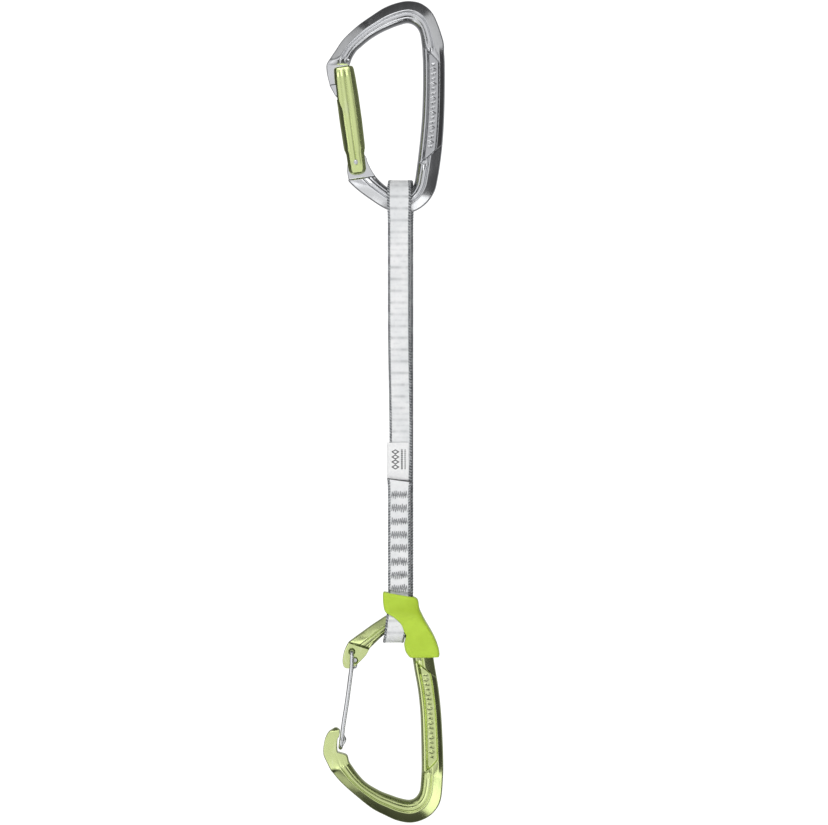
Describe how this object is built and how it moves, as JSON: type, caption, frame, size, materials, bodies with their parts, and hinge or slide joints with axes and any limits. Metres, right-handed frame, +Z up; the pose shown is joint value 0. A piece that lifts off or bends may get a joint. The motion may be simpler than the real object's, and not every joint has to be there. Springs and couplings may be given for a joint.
{
  "type": "climbing quickdraw",
  "caption": "Two forged snap links joined by a sewn webbing sling: a solid spring gate above, a wire gate with rubber keeper below.",
  "frame": {"origin": "point inside the upper link's crown where a bolt hanger bears; the draw hangs down from it", "axes": "+Z up along the hanging draw, +X towards the spines of both links, Y = 0 is the middle plane of both links"},
  "size_m": [0.0578, 0.018, 0.391],
  "materials": {
    "polished_aluminium": "polished forged",
    "green_anodised": "anodised satin",
    "lime_anodised": "anodised bright",
    "steel": "drawn wire",
    "webbing": "woven, grey selvedges",
    "label": "woven label",
    "thread": "zigzag stitching",
    "rubber": "matte moulded"
  },
  "bodies": {
    "upper_link": {"upper_body": "polished_aluminium"},
    "upper_gate_set": {"upper_gate": "green_anodised", "upper_gate_rivet": "steel", "upper_gate_spring": "steel"},
    "upper_plunger": {"upper_gate_plunger": "steel"},
    "sling_top": {"sling_tape_upper": "webbing"},
    "sling_bottom": {"sling_tape_lower": "webbing", "sling_tape_end": "webbing", "sling_label": "label", "bar_tack_1": "thread", "bar_tack_2": "thread", "bar_tack_3": "thread", "bar_tack_4": "thread", "bar_tack_5": "thread", "bar_tack_6": "thread", "bar_tack_7": "thread", "bar_tack_8": "thread"},
    "lower_link": {"lower_body": "lime_anodised", "keeper": "rubber"},
    "wire_gate": {"lower_wire_gate": "steel"}
  },
  "joints": [
    {"name": "upper_gate_hinge", "type": "hinge", "parent": "upper_link", "child": "upper_gate_set", "pos_m": [-0.02475, 0, -0.0664], "axis": [0, 1, 0], "range_deg": [0, 28], "stiffness_Nm_per_rad": 0.4, "springref_deg": -34.38},
    {"name": "upper_plunger_slide", "type": "slide", "parent": "upper_gate_set", "child": "upper_plunger", "axis": [-0.1347, 0, 0.9909], "range_m": [0, 0.00145], "deforming": ["upper_gate_spring"]},
    {"name": "sling_swing", "type": "hinge", "parent": "upper_link", "child": "sling_top", "pos_m": [-0.0034, 0, -0.0845], "axis": [1, 0, 0], "range_deg": [-50, 50]},
    {"name": "sling_flex", "type": "hinge", "parent": "sling_top", "child": "sling_bottom", "pos_m": [-0.0034, 0, -0.185], "axis": [1, 0, 0], "range_deg": [-45, 45]},
    {"name": "lower_link_swing", "type": "hinge", "parent": "sling_bottom", "child": "lower_link", "pos_m": [-0.0058, 0, -0.285], "axis": [1, 0, 0], "range_deg": [-20, 20], "stiffness_Nm_per_rad": 0.05, "deforming": ["keeper"]},
    {"name": "wire_gate_hinge", "type": "hinge", "parent": "lower_link", "child": "wire_gate", "pos_m": [-0.02595, 0, -0.30095], "axis": [0, -1, 0], "range_deg": [0, 28], "stiffness_Nm_per_rad": 0.3, "springref_deg": -34.38}
  ],
  "couplings": [
    {"joint": "upper_plunger_slide", "follows": "upper_gate_hinge", "m_per_rad": 0.0028648}
  ]
}
